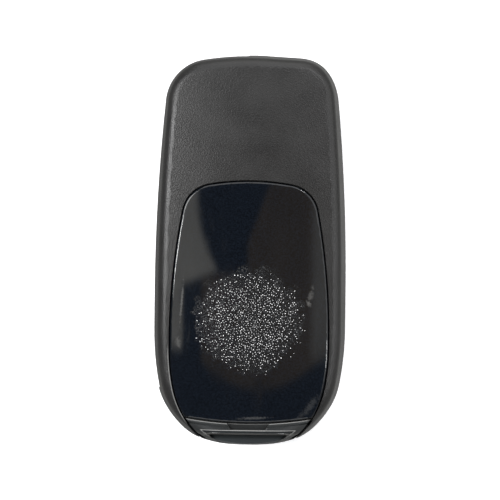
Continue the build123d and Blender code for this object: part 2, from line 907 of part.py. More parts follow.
with BuildPart() as case_screws:
    with BuildSketch(Plane.XY.offset(cell_floor)):
        with Locations(screw_places):
            Circle(screw_head_radius)
    extrude(amount=screw_head)
    fillet(case_screws.faces().sort_by(Axis.Z)[-2:].edges(), screw_head_round)
    with BuildSketch(Plane.XY.offset(screw_tip)):
        with Locations(screw_places):
            Circle(screw_radius)
    extrude(amount=cell_floor - screw_tip)
    # cross recess
    with BuildSketch(Plane.XY.offset(cell_floor + screw_head)):
        with Locations(screw_places):
            Rectangle(recess_length, recess_width)
            Rectangle(recess_width, recess_length)
    extrude(amount=-recess_depth, mode=Mode.SUBTRACT)
keep(case_screws, "case_screws")
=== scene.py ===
import json
import math

import bmesh
import bpy
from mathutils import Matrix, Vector


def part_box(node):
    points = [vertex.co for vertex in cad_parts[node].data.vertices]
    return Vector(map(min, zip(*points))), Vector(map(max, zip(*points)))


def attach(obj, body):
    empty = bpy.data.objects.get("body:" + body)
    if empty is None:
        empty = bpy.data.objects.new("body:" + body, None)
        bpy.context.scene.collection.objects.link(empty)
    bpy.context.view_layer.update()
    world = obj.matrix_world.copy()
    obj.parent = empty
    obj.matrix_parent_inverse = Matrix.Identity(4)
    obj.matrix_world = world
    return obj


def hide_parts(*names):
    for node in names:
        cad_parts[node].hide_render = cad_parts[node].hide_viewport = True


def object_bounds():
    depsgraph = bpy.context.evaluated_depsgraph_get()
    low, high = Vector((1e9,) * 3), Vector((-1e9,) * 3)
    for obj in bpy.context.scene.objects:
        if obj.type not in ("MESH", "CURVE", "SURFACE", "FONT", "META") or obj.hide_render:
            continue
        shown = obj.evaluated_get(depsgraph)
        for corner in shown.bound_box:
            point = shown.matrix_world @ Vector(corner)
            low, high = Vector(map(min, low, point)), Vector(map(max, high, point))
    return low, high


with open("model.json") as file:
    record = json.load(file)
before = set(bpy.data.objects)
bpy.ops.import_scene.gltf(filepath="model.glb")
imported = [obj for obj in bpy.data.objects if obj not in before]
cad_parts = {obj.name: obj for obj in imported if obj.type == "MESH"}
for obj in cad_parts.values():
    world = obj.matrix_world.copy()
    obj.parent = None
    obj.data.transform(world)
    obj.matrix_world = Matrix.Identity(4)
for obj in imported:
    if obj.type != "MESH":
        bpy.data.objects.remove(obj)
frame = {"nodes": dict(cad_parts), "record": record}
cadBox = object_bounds()
nodes = frame["nodes"]
bodies = frame["record"]["behaviour"]["bodies"]
mm = 0.001


# ---- camera, straight above the cover, with the small roll that the photograph has
cameraSetup = {
    "frameWidth": 99.3 * mm,
    "focal": 110,
    "sensor": 36,
    "aimHeight": 9 * mm,
    "roll": 0.67,
}


def addCamera(setup):
    lens = bpy.data.cameras.new("camera")
    lens.lens = setup["focal"]
    lens.sensor_width = setup["sensor"]
    camera = bpy.data.objects.new("camera", lens)
    distance = setup["frameWidth"] * setup["focal"] / setup["sensor"]
    camera.location = (0, 0, setup["aimHeight"] + distance)
    camera.rotation_euler = (0, 0, math.radians(setup["roll"]))
    bpy.context.collection.objects.link(camera)
    bpy.context.scene.camera = camera


addCamera(cameraSetup)
print("camera ready")


# ---- small helpers for node trees
def addNode(tree, kind, **settings):
    node = tree.nodes.new(kind)
    for key, value in settings.items():
        setattr(node, key, value)
    return node


# fills a node's inputs, each with a number, a colour or another node's output
def feed(tree, node, inputs):
    for name, value in inputs.items():
        socket = node.inputs[name]
        if isinstance(value, bpy.types.NodeSocket):
            tree.links.new(value, socket)
        elif socket.type == "RGBA":
            socket.default_value = (*value, 1)
        else:
            socket.default_value = value


def blankMaterial(name, metallic=0):
    material = bpy.data.materials.new(name)
    material.use_nodes = True
    tree = material.node_tree
    shader = tree.nodes["Principled BSDF"]
    shader.inputs["Metallic"].default_value = metallic
    return material, tree, shader


# one operation on one value or two, or on more in turn
def maths(tree, operation, *values):
    if len(values) > 2:
        values = (maths(tree, operation, *values[:-1]), values[-1])
    node = addNode(tree, "ShaderNodeMath", operation=operation)
    feed(tree, node, dict(enumerate(values)))
    return node.outputs["Value"]


def plus(tree, *values):
    return maths(tree, "ADD", *values)


def minus(tree, *values):
    return maths(tree, "SUBTRACT", *values)


def times(tree, *values):
    return maths(tree, "MULTIPLY", *values)


def larger(tree, *values):
    return maths(tree, "MAXIMUM", *values)


def smaller(tree, *values):
    return maths(tree, "MINIMUM", *values)


def axes(tree, vector):
    node = addNode(tree, "ShaderNodeSeparateXYZ")
    feed(tree, node, {"Vector": vector})
    return [node.outputs[axis] for axis in "XYZ"]


def asVector(tree, *parts):
    node = addNode(tree, "ShaderNodeCombineXYZ")
    feed(tree, node, dict(zip("XYZ", parts)))
    return node.outputs["Vector"]


def lengthOf(tree, vector):
    node = addNode(tree, "ShaderNodeVectorMath", operation="LENGTH")
    feed(tree, node, {0: vector})
    return node.outputs["Value"]


# object coordinates in millimetres, centred where a pattern needs it
def millimetres(tree, centre=(0, 0, 0), stretch=(1, 1, 1), turn=0):
    mapping = addNode(tree, "ShaderNodeMapping", vector_type="POINT")
    feed(tree, mapping, {
        "Vector": addNode(tree, "ShaderNodeTexCoord").outputs["Object"],
        "Scale": [share / mm for share in stretch],
        "Location": [-place * share for place, share in zip(centre, stretch)],
        "Rotation": (0, 0, math.radians(turn)),
    })
    return mapping.outputs["Vector"]


# millimetres from a place in plan, whatever the height
def fromMiddle(tree, centre):
    return millimetres(tree, (*centre, 0), (1, 1, 0))


def noise(tree, place, grain, detail=2, roughness=0.5):
    texture = addNode(tree, "ShaderNodeTexNoise")
    feed(tree, texture, {
        "Vector": place,
        "Scale": 1 / grain,
        "Detail": detail,
        "Roughness": roughness,
    })
    return texture.outputs["Fac"]


def cells(tree, place, grain, feature="F1"):
    texture = addNode(tree, "ShaderNodeTexVoronoi", feature=feature)
    feed(tree, texture, {"Vector": place, "Scale": 1 / grain})
    return texture.outputs["Distance"]


# stretches a value from one range to another, and clips it there
def remap(tree, value, low, high, newLow=0, newHigh=1, smooth=False):
    curve = "SMOOTHSTEP" if smooth else "LINEAR"
    node = addNode(tree, "ShaderNodeMapRange", interpolation_type=curve)
    feed(tree, node, {
        "Value": value,
        "From Min": low,
        "From Max": high,
        "To Min": newLow,
        "To Max": newHigh,
    })
    return node.outputs["Result"]


# 1 between two places and 0 outside them, with soft ends
def between(tree, value, low, high, soft):
    rising = remap(tree, value, low - soft, low + soft, smooth=True)
    falling = remap(tree, value, high - soft, high + soft, 1, 0, smooth=True)
    return times(tree, rising, falling)


def shades(tree, value, *stops):
    node = addNode(tree, "ShaderNodeValToRGB")
    ramp = node.color_ramp
    while len(ramp.elements) < len(stops):
        ramp.elements.new(0.5)
    for element, (place, colour) in zip(ramp.elements, stops):
        element.position = place
        element.color = (*colour, 1)
    feed(tree, node, {"Fac": value})
    return node.outputs["Color"]


def mixColour(tree, share, first, second):
    node = addNode(tree, "ShaderNodeMix", data_type="RGBA")
    feed(tree, node, {0: share, 6: first, 7: second})
    return node.outputs[2]


def bump(tree, shader, height, depth, strength=1):
    node = addNode(tree, "ShaderNodeBump")
    feed(tree, node, {"Strength": strength, "Distance": depth * mm, "Height": height})
    feed(tree, shader, {"Normal": node.outputs["Normal"]})


# a lighter or darker shade of a tone
def toned(share, tone):
    return tuple(share * part for part in tone)


# ---- moulded plastics
# The marks of the tail, in millimetres and the same on both sides, apart from the rim. Three
# numbers are two places and how soft the mark ends there, and "rise" is the heights between which
# a mark comes in or fades.
tailMarks = {
    # painted shade in the gap beside the insert, along an arc
    "seam": {
        "centre": (-3.569, -23.31),
        "radius": 18.79,
        "width": (0.20, 0.36),
        "headEnd": (-33.4, -32.9),
        "rise": (7.4, 7.8),
    },
    # a painted highlight on the rim of the cover's opening, low on the left: along the seam's arc
    # as far as "turn", and along its own arc from there towards the head; "wear" is its strength
    "rim": {
        "centre": (-21.979, -19.495),
        "radius": 37.6,
        "turn": (-27.19, -27.09),
        "width": (0.13, 0.29, 0.04),
        "span": (-34.0, -19.5, 1.5),
        "rise": (9, 10),
        "wear": 0.55,
    },
    # painted shade over the field round the key ring bar, a flat gloss-free tone as of a shaded
    # recess, with a painted shadow along its rim; "lean" makes the distance across from a
    # slanting side the shortest one, and "shadow" is two depths from the rim and its strength at
    # each
    "field": {
        "head": -35.42,
        "half": 8.95,
        "slant": 1.05,
        "lean": 0.7,
        "edge": (-0.04, 0.06),
        "shadow": (0.1, 0.5, 0.6, 0),
        "paintedFieldShade": 0.9,
    },
    # the pry notch, darkened inside by painted shade
    "notch": {
        "along": (-35.2, -34.0, 0.1),
        "across": (-4.25, 4.25, 0.15),
        "rise": (13.6, 13.9),
        "paintedShade": 0.25,
    },
    # painted highlights as thin pale lines: one round the field, one along the cover and one
    # under the notch
    "paintedHighlight": {
        "aroundField": (-0.2, -0.08, 0.05),
        "fieldSpan": (-9.4, 9.4, 0.3),
        "coverCentre": (0, 44.0),
        "coverEdge": (78.07, 78.17, 0.05),
        "underNotch": (-35.30, -35.24, 0.04),
        "notchSpan": (-3.4, 3.4, 0.2),
        "rise": (10.8, 11.4),
    },
}


def distanceFrom(tree, x, y, centre):
    return lengthOf(tree, asVector(tree, minus(tree, x, centre[0]), minus(tree, y, centre[1])))


# the painted shade at a place, the painted flat shade of the field, the painted highlight lines
# along the insert's edges, and the painted highlight on the rim of the cover's opening
def tailPaintedLight(tree, marks):
    names = ("seam", "rim", "field", "notch", "paintedHighlight")
    seam, rim, field, notch, paintedHighlight = (marks[name] for name in names)
    across, y, z = axes(tree, millimetres(tree))
    x = maths(tree, "ABSOLUTE", across)
    fromSeam = minus(tree, distanceFrom(tree, x, y, seam["centre"]), seam["radius"])
    # painted shade along the gap beside the insert
    seamShade = times(
        tree,
        remap(tree, maths(tree, "ABSOLUTE", fromSeam), *seam["width"], 1, 0, smooth=True),
        remap(tree, y, *seam["headEnd"], 1, 0),
        remap(tree, z, *seam["rise"]),
    )

    fromSide = minus(tree, distanceFrom(tree, x, y, rim["centre"]), rim["radius"])
    fromRim = plus(
        tree,
        times(tree, minus(tree, fromSide, fromSeam), remap(tree, y, *rim["turn"])),
        fromSeam,
    )
    # painted highlight on the rim of the cover's opening, low on the left
    paintedRimHighlight = times(
        tree,
        between(tree, fromRim, *rim["width"]),
        between(tree, y, *rim["span"]),
        remap(tree, across, -1, 0, 1, 0),
        remap(tree, z, *rim["rise"], 0, rim["wear"]),
    )

    # depth into the field, measured from its head edge and its slanting sides
    fromHead = minus(tree, field["head"], y)
    slant = times(tree, fromHead, field["slant"])
    fromEnd = minus(tree, field["half"], x, slant)
    inward = smaller(tree, fromHead, times(tree, fromEnd, field["lean"]))
    # the field's flat painted shade, and its painted shadow near the rim
    inField = remap(tree, inward, *field["edge"])
    shadow = times(tree, inField, remap(tree, inward, *field["shadow"], smooth=True))

    # painted shade inside the pry notch
    notchShade = times(
        tree,
        between(tree, y, *notch["along"]),
        between(tree, x, *notch["across"]),
        remap(tree, z, *notch["rise"], notch["paintedShade"], 0),
    )
    # all painted shade: in the gaps, the field's painted shadow and the notch
    paintedShade = larger(tree, seamShade, shadow, notchShade)

    # painted highlights along the edges of the field, the cover and the notch
    aroundField = between(tree, inward, *paintedHighlight["aroundField"])
    aroundField = times(tree, aroundField, between(tree, x, *paintedHighlight["fieldSpan"]))
    coverEdge = between(tree, distanceFrom(tree, x, y, paintedHighlight["coverCentre"]), *paintedHighlight["coverEdge"])
    underNotch = between(tree, y, *paintedHighlight["underNotch"])
    underNotch = times(tree, underNotch, between(tree, x, *paintedHighlight["notchSpan"]))
    lines = times(
        tree,
        larger(tree, aroundField, coverEdge, underNotch),
        minus(tree, 1, larger(tree, paintedShade, inField)),
        remap(tree, z, *paintedHighlight["rise"]),
    )
    return paintedShade, times(tree, inField, field["paintedFieldShade"]), lines, paintedRimHighlight


shellFinish = {
    "dark": 0.009,
    "light": 0.017,
    "tint": (1.03, 1.0, 0.97),
    "grain": 0.30,
    "blotch": 7,
    "depth": 0.045,
    "rough": (0.28, 0.36),
    "gloss": 0.38,
    # strength of the painted highlight lines at the tail, none on the shell
    "wear": 0,
}
insertFinish = shellFinish | {
    "dark": 0.016,
    "light": 0.027,
    "tint": (0.93, 1.0, 1.01),
    "depth": 0.012,
    # the insert carries the painted highlight lines in full
    "wear": 1,
}
holderFinish = shellFinish | {
    "dark": 0.014,
    "light": 0.026,
    "grain": 0.22,
    "depth": 0.010,
    "rough": (0.34, 0.5),
}
# tones of the painted shade over the field, the painted shade in gaps and notch, and the painted
# highlights
paintedLightTones = {
    "paintedFieldShade": (0.038, 0.043, 0.045),
    "paintedShade": (0.0015, 0.0016, 0.0018),
    "paintedHighlight": (0.28, 0.28, 0.27),
}


# spark-eroded grain, with softer blotches where hands have polished it
def grainedPlastic(name, finish):
    material, tree, shader = blankMaterial(name)
    place = millimetres(tree)
    fine = noise(tree, place, finish["grain"], detail=3, roughness=0.62)
    pits = cells(tree, place, finish["grain"] * 0.9)
    blotch = noise(tree, place, finish["blotch"], detail=3)
    tone = plus(tree, times(tree, fine, 0.65), times(tree, blotch, 0.35))
    dark, light = (toned(finish[end], finish["tint"]) for end in ("dark", "light"))
    colour = shades(tree, tone, (0.36, dark), (0.64, light))
    # the tail's painted shade and painted highlights are mixed into the colour, and the painted
    # shade dulls the gloss
    paintedShade, paintedFieldShade, paintedHighlight, paintedRimHighlight = tailPaintedLight(tree, tailMarks)
    paintedHighlight = larger(tree, times(tree, paintedHighlight, finish["wear"]), paintedRimHighlight)
    for share, wear in ((paintedFieldShade, "paintedFieldShade"), (paintedShade, "paintedShade"), (paintedHighlight, "paintedHighlight")):
        colour = mixColour(tree, share, colour, paintedLightTones[wear])
    feed(tree, shader, {
        "Base Color": colour,
        "Roughness": remap(tree, blotch, 0.35, 0.65, *finish["rough"]),
        "Specular IOR Level": remap(tree, larger(tree, paintedShade, paintedFieldShade), 0, 1, finish["gloss"], 0),
    })
    bump(tree, shader, plus(tree, fine, times(tree, pits, 0.45)), finish["depth"])
    return material


shellPlastic = grainedPlastic("shellPlastic", shellFinish)
insertPlastic = grainedPlastic("insertPlastic", insertFinish)
holderPlastic = grainedPlastic("holderPlastic", holderFinish)

lacquerFinish = {
    "tone": (0.0016, 0.0024, 0.0038),
    "film": 0.32,
    "rough": 0.045,
    "smear": 0.16,
    "wipeTurn": 24,
    "wipeGrain": 2.2,
    "patch": (0, -13.6),
    "patchRadius": 10.4,
    "patchWander": 1.2,
    "dustGrain": 0.22,
    "dustTone": (0.014, 0.015, 0.016),
    "dustRough": 0.4,
    "smudgeAndReflectionTone": (0.62, 0.61, 0.58),
    # each mark is a place, its half sizes across and along, a turn in degrees and a strength;
    # most are smudges, and two are painted reflections
    "marks": (
        (11.9, -8.9, 0.45, 1.0, -15, 0.07),
        (11.5, -10.3, 0.35, 0.7, 30, 0.11),
        (12.3, -7.2, 0.3, 0.5, 10, 0.05),
        # a painted reflection: the thin pale line of an edge on the left
        (-13.2, -10.2, 0.22, 3.6, -4, 0.10),
        (-13.8, -18.2, 0.5, 1.0, 10, 0.06),
        # a painted reflection: the pale streak along the tail edge
        (1.0, -32.8, 2.9, 0.26, 3, 0.06),
        (12.1, -30.4, 0.7, 2.2, -38, 0.030),
        (10.4, -32.2, 0.5, 1.2, -46, 0.020),
    ),
}


# a soft pale spot with a ragged edge, for the smudges and the painted reflections
def paleSpot(tree, x, y, across, along, turn, strength, ragged):
    mapping = addNode(tree, "ShaderNodeMapping", vector_type="TEXTURE")
    feed(tree, mapping, {
        "Vector": addNode(tree, "ShaderNodeTexCoord").outputs["Object"],
        "Location": (x * mm, y * mm, 0),
        "Rotation": (0, 0, math.radians(turn)),
        "Scale": (across * mm, along * mm, 1),
    })
    away = plus(tree, lengthOf(tree, mapping.outputs["Vector"]), ragged)
    return remap(tree, away, 0.1, 1.5, strength, 0, smooth=True)


# black lacquer with wiping marks, smudges, painted reflections and dull dust in the round patch
def lacquer(finish):
    material, tree, shader = blankMaterial("coverLacquer")
    place = millimetres(tree)
    wiped = millimetres(tree, stretch=(0.9, 0.25, 1), turn=finish["wipeTurn"])
    streaks = noise(tree, wiped, finish["wipeGrain"], detail=4, roughness=0.6)
    blotch = noise(tree, place, grain=9)
    smear = times(tree, remap(tree, streaks, 0.5, 0.78), remap(tree, blotch, 0.42, 0.6))

    radius, wander = finish["patchRadius"], finish["patchWander"]
    unevenRim = remap(tree, noise(tree, place, grain=1.6), 0.3, 0.7, -wander, wander)
    away = plus(tree, lengthOf(tree, fromMiddle(tree, finish["patch"])), unevenRim)
    inPatch = remap(tree, away, radius - 0.8, radius + 0.6, 1, 0, smooth=True)
    dust = remap(tree, noise(tree, place, finish["dustGrain"], detail=1), 0.5, 0.62)
    dust = times(tree, dust, inPatch)

    film = noise(tree, place, finish["film"], roughness=0.7)
    darkest, lightest = toned(0.3, finish["tone"]), toned(2.0, finish["tone"])
    colour = shades(tree, film, (0.36, darkest), (0.64, lightest))
    colour = mixColour(tree, dust, colour, finish["dustTone"])
    ragged = noise(tree, place, grain=0.5, detail=3, roughness=0.7)
    ragged = remap(tree, ragged, 0.3, 0.7, -0.5, 0.6)
    # smudges and painted reflections, mixed into the colour
    marks = larger(tree, *(paleSpot(tree, *mark, ragged) for mark in finish["marks"]))
    colour = mixColour(tree, marks, colour, finish["smudgeAndReflectionTone"])
    rough = plus(
        tree,
        times(tree, smear, finish["smear"]),
        finish["rough"],
        times(tree, dust, finish["dustRough"]),
    )
    feed(tree, shader, {"Base Color": colour, "Roughness": rough})
    bump(tree, shader, plus(tree, dust, times(tree, blotch, 0.02)), depth=0.004)
    return material


coverLacquer = lacquer(lacquerFinish)

scratches = {"grain": 1.1, "stretch": (1, 0.2, 1), "turn": 35, "dull": 0.22}


# smooth plastic, dulled by fine slanting scratches
def glossPlastic(name, tone, rough):
    material, tree, shader = blankMaterial(name)
    place = millimetres(tree)
    blotch = noise(tree, place, grain=5)
    scratched = millimetres(tree, stretch=scratches["stretch"], turn=scratches["turn"])
    wear = noise(tree, scratched, scratches["grain"], detail=5, roughness=0.65)
    feed(tree, shader, {
        "Base Color": shades(tree, blotch, (0.3, tone), (0.7, toned(1.5, tone))),
        "Roughness": remap(tree, wear, 0.45, 0.8, rough, rough + scratches["dull"]),
    })
    bump(tree, shader, noise(tree, place, grain=3, detail=1), depth=0.006, strength=0.4)
    return material


bezelGloss = glossPlastic("bezelGloss", (0.006, 0.006, 0.007), 0.10)
transponderEpoxy = glossPlastic("transponderEpoxy", (0.010, 0.010, 0.010), 0.34)


rubberFinish = {"blotch": 3.5, "rough": (0.5, 0.72), "sheen": 0.15, "depth": 0.006}


def rubber(name, tone, grain):
    material, tree, shader = blankMaterial(name)
    place = millimetres(tree)
    fine = noise(tree, place, grain)
    blotch = noise(tree, place, rubberFinish["blotch"], detail=3)
    feed(tree, shader, {
        "Base Color": shades(tree, blotch, (0.3, toned(0.8, tone)), (0.7, toned(1.25, tone))),
        "Roughness": remap(tree, blotch, 0.3, 0.7, *rubberFinish["rough"]),
        "Sheen Weight": rubberFinish["sheen"],
    })
    bump(tree, shader, fine, rubberFinish["depth"])
    return material


keyRubber = rubber("keyRubber", (0.030, 0.030, 0.032), 0.12)
matSilicone = rubber("matSilicone", (0.055, 0.055, 0.058), 0.2)


# ---- metals
brushing = {
    "line": 0.05,
    "stretch": (1, 0.03, 1),
    "depth": 0.002,
    "blotch": 2.5,
    "speck": 0.35,
    "speckTone": (0.05, 0.045, 0.04),
}


# the brushed lines run along Y unless they are turned
def brushedMetal(name, tone, rough, turn=0, specks=0):
    material, tree, shader = blankMaterial(name, metallic=1)
    place = millimetres(tree)
    brushed = millimetres(tree, stretch=brushing["stretch"], turn=turn)
    lines = noise(tree, brushed, brushing["line"], detail=3)
    blotch = noise(tree, place, brushing["blotch"], detail=3)
    colour = shades(tree, blotch, (0.3, toned(0.82, tone)), (0.7, tone))
    if specks:
        spots = remap(tree, noise(tree, place, brushing["speck"]), 0.64, 0.74)
        colour = mixColour(tree, times(tree, spots, specks), colour, brushing["speckTone"])
    feed(tree, shader, {
        "Base Color": colour,
        "Roughness": remap(tree, lines, 0.3, 0.7, rough - 0.07, rough + 0.1),
    })
    bump(tree, shader, lines, brushing["depth"])
    return material


bladeNickel = brushedMetal("bladeNickel", (0.60, 0.575, 0.53), 0.30, specks=0.5)
pinSteel = brushedMetal("pinSteel", (0.50, 0.50, 0.50), 0.28)
springSteel = brushedMetal("springSteel", (0.36, 0.35, 0.33), 0.34, turn=45)
anchorSteel = brushedMetal("anchorSteel", (0.52, 0.52, 0.51), 0.36)
contactNickel = brushedMetal("contactNickel", (0.66, 0.62, 0.53), 0.26, turn=90)
tin = brushedMetal("tin", (0.62, 0.62, 0.62), 0.33)
screwZinc = brushedMetal("screwZinc", (0.52, 0.53, 0.55), 0.30, turn=60, specks=0.3)

releaseFinish = {
    "tone": (0.58, 0.58, 0.60),
    "rough": (0.2, 0.34),
    "centre": (-9, 27.6),
    "rings": 42,
}


# satin chrome with the rings that turning leaves about the middle
def turnedChrome(finish):
    material, tree, shader = blankMaterial("releaseChrome", metallic=1)
    away = lengthOf(tree, fromMiddle(tree, finish["centre"]))
    rings = maths(tree, "SINE", times(tree, away, finish["rings"]))
    blotch = noise(tree, millimetres(tree), grain=1.8, detail=4)
    tone = finish["tone"]
    feed(tree, shader, {
        "Base Color": shades(tree, blotch, (0.25, toned(0.75, tone)), (0.75, tone)),
        "Roughness": remap(tree, blotch, 0.3, 0.7, *finish["rough"]),
    })
    bump(tree, shader, rings, depth=0.0012)
    return material


releaseChrome = turnedChrome(releaseFinish)

cellFinish = {
    "tone": (0.66, 0.66, 0.655),
    "rough": (0.24, 0.29),
    "centre": (1.0, -9.0),
    "rings": 30,
    "plusPlace": 5.4,
    "plusArm": 1.7,
    "plusWidth": 0.3,
    "plusEdge": 0.08,
    "plusRough": 0.2,
}


# stainless cell case: fine lathe rings, a stamped plus sign and a few handling marks
def cellCase(finish):
    material, tree, shader = blankMaterial("cellCase", metallic=1)
    middle = fromMiddle(tree, finish["centre"])
    x, y, _ = axes(tree, middle)
    across = maths(tree, "ABSOLUTE", minus(tree, x, finish["plusPlace"]))
    along = maths(tree, "ABSOLUTE", y)
    arm, width, edge = (finish[name] for name in ("plusArm", "plusWidth", "plusEdge"))
    stamped = times(
        tree,
        remap(tree, larger(tree, across, along), arm, arm + edge, 1, 0),
        remap(tree, smaller(tree, across, along), width, width + edge, 1, 0),
    )
    rings = maths(tree, "SINE", times(tree, lengthOf(tree, middle), finish["rings"]))
    handled = millimetres(tree, stretch=(1, 0.3, 1), turn=-30)
    rough = remap(tree, noise(tree, handled, grain=0.5, detail=5), 0.4, 0.7, *finish["rough"])
    feed(tree, shader, {
        "Base Color": mixColour(tree, stamped, finish["tone"], toned(0.45, finish["tone"])),
        "Roughness": plus(tree, rough, times(tree, stamped, finish["plusRough"])),
    })
    bump(tree, shader, minus(tree, times(tree, rings, 0.02), stamped), depth=0.05)
    return material


cellMetal = cellCase(cellFinish)


# ---- electronics
boardFinish = {
    "mask": (0.012, 0.075, 0.032),
    "copper": (0.030, 0.16, 0.062),
    "solder": (0.45, 0.44, 0.42),
    "pitch": 1.9,
    "pour": 9,
    "holePitch": 3.1,
}


# green mask over copper tracks between random cells, with poured areas and soldered holes
def boardMask(finish):
    material, tree, shader = blankMaterial("boardMask")
    place = millimetres(tree)
    tracks = cells(tree, place, finish["pitch"], feature="DISTANCE_TO_EDGE")
    pour = remap(tree, noise(tree, place, finish["pour"]), 0.5, 0.52)
    copper = larger(tree, remap(tree, tracks, 0.06, 0.10, 1, 0), pour)
    holes = remap(tree, cells(tree, place, finish["holePitch"]), 0.10, 0.13, 1, 0)
    colour = mixColour(tree, copper, finish["mask"], finish["copper"])
    feed(tree, shader, {
        "Base Color": mixColour(tree, holes, colour, finish["solder"]),
        "Roughness": remap(tree, noise(tree, place, grain=4), 0.3, 0.7, 0.22, 0.34),
    })
    bump(tree, shader, copper, depth=0.03)
    return material


boardMaskGreen = boardMask(boardFinish)


def mouldedEpoxy(name, tone, rough):
    material, tree, shader = blankMaterial(name)
    place = millimetres(tree)
    fine = noise(tree, place, grain=0.12)
    blotch = noise(tree, place, grain=1.5)
    feed(tree, shader, {
        "Base Color": shades(tree, fine, (0.3, toned(0.75, tone)), (0.7, toned(1.3, tone))),
        "Roughness": remap(tree, blotch, 0.3, 0.7, rough - 0.06, rough + 0.06),
    })
    bump(tree, shader, fine, depth=0.008)
    return material


chipEpoxy = mouldedEpoxy("chipEpoxy", (0.020, 0.020, 0.021), 0.52)
coilFerrite = mouldedEpoxy("coilFerrite", (0.030, 0.030, 0.032), 0.46)
ceramicBody = mouldedEpoxy("ceramicBody", (0.26, 0.20, 0.14), 0.38)
print("materials ready")


# ---- smooth merged copies of the solids, which take their finishes
finishes = {
    "back_shell": (shellPlastic, "shell"),
    "front_shell": (shellPlastic, "shell"),
    "chassis": (insertPlastic, "shell"),
    "battery_cover": (coverLacquer, "gloss_black"),
    "blade_holder": (holderPlastic, "dark_plastic"),
    "key_blade": (bladeNickel, "blade_nickel"),
    "blade_pin": (pinSteel, "pin_steel"),
    "flip_spring": (springSteel, "spring_steel"),
    "spring_anchor": (anchorSteel, "pin_steel"),
    "release_button": (releaseChrome, "satin_metal"),
    "keypad_bezel": (bezelGloss, "gloss_black"),
    "lock_button": (keyRubber, "rubber_key"),
    "unlock_button": (keyRubber, "rubber_key"),
    "boot_button": (keyRubber, "rubber_key"),
    "keypad_mat": (matSilicone, "silicone"),
    "circuit_board": (boardMaskGreen, "board"),
    "tactile_switches": (tin, "tin"),
    "remote_chip": (chipEpoxy, "chip_black"),
    "crystal_can": (tin, "tin"),
    "antenna_coil": (coilFerrite, "coil_black"),
    "board_passives": (ceramicBody, "ceramic"),
    "transponder_chip": (transponderEpoxy, "carbon_black"),
    "coin_cell": (cellMetal, "cell_steel"),
    "battery_contact_plus": (contactNickel, "contact_steel"),
    "battery_contact_minus": (contactNickel, "contact_steel"),
    "case_screws": (screwZinc, "screw_zinc"),
}
smoothing = {"merge": 0.002 * mm, "crease": 28}


def bodyOf(node):
    return next(name for name, members in bodies.items() if node in members)


def merged(mesh, name):
    work = bmesh.new()
    work.from_mesh(mesh)
    bmesh.ops.remove_doubles(work, verts=work.verts, dist=smoothing["merge"])
    crease = math.radians(smoothing["crease"])
    for face in work.faces:
        face.smooth = True
    for edge in work.edges:
        edge.smooth = len(edge.link_faces) == 2 and edge.calc_face_angle(math.pi) < crease
    copy = bpy.data.meshes.new(name)
    work.to_mesh(copy)
    work.free()
    return copy


# The back is crowned along and across: an arc across of radius "across", which swings along an
# arc of radius "along". Faces within "reach" of it that look its way are its own.
crown = {
    "top": 15.5 * mm,
    "across": 120 * mm,
    "along": 500 * mm,
    "reach": 0.02 * mm,
    "facing": 0.995,
}
crowned = ("back_shell", "battery_cover", "chassis")


# how far a point is from the crowned back, and the back's direction there
def crownAt(point):
    centreZ = crown["top"] - crown["along"]
    arm = math.sqrt(crown["across"] ** 2 - point.x**2)
    swing = math.hypot(point.y, point.z - centreZ)
    gap = swing - (crown["along"] - crown["across"]) - arm
    upward = Vector((point.x / arm, point.y / swing, (point.z - centreZ) / swing))
    return gap, upward.normalized()


# gives the crowned faces their exact normals, so that reflections run smoothly over them
def polishCrown(mesh):
    normals = [Vector(corner.vector) for corner in mesh.corner_normals]
    for face in mesh.polygons:
        gap, upward = crownAt(face.center)
        if abs(gap) > crown["reach"] or face.normal.dot(upward) < crown["facing"]:
            continue
        for loop in face.loop_indices:
            place = mesh.vertices[mesh.loops[loop].vertex_index].co
            normals[loop] = crownAt(place)[1]
    mesh.normals_split_custom_set(normals)


# The tail of the housing in plan, in millimetres: a flat arc in the middle and a tighter one, the
# haunch, on each side of it. They meet at a turn in degrees. The photograph shows the tail a
# little fuller than the solids, so the walls near it are drawn out, at each place across by a
# step. The walls are taken as thick beyond "thickFrom", and as thin before it.
tailPlan = {
    "middle": ((0, -14.5), 24.4),
    "haunch": ((4.574, -24.047), 13.814),
    "meet": 25.6,
}
tailSteps = (
    (0, 0),
    (2.7, 0.08),
    (5, 0.28),
    (8, 0.5),
    (10.3, 0.64),
    (11.7, 0.56),
    (12.8, 0.46),
    (14.3, 0.2),
    (16.2, 0),
)
tailWalls = {"thin": 0.7, "thick": 2.2, "thickFrom": 9.2, "change": 0.6}
tailPieces = ("back_shell", "front_shell", "chassis")
# the head's right corner of the two halves is fuller too, in a soft bulge round one place
cornerBulge = {"x": 12.8, "y": 37.0, "reach": 8.5, "across": 0.42, "along": 0.50}
cornerPieces = ("back_shell", "front_shell")


def clamped(value):
    return min(max(value, 0), 1)


def eased(value):
    share = clamped(value)
    return share * share * (3 - 2 * share)


# where a point lies across the tail's outline, and how far inside it
def acrossTail(x, y):
    (centreX, centreY), radius = tailPlan["middle"]
    turn = math.atan2(x - centreX, centreY - y)
    if math.degrees(turn) >= tailPlan["meet"]:
        (centreX, centreY), radius = tailPlan["haunch"]
        turn = math.atan2(x - centreX, centreY - y)
    away = math.hypot(x - centreX, y - centreY)
    return centreX + radius * math.sin(turn), radius - away


def tailStepAt(place):
    for (start, step), (end, nextStep) in zip(tailSteps, tailSteps[1:]):
        if start <= place < end:
            return step + (place - start) / (end - start) * (nextStep - step)
    return 0


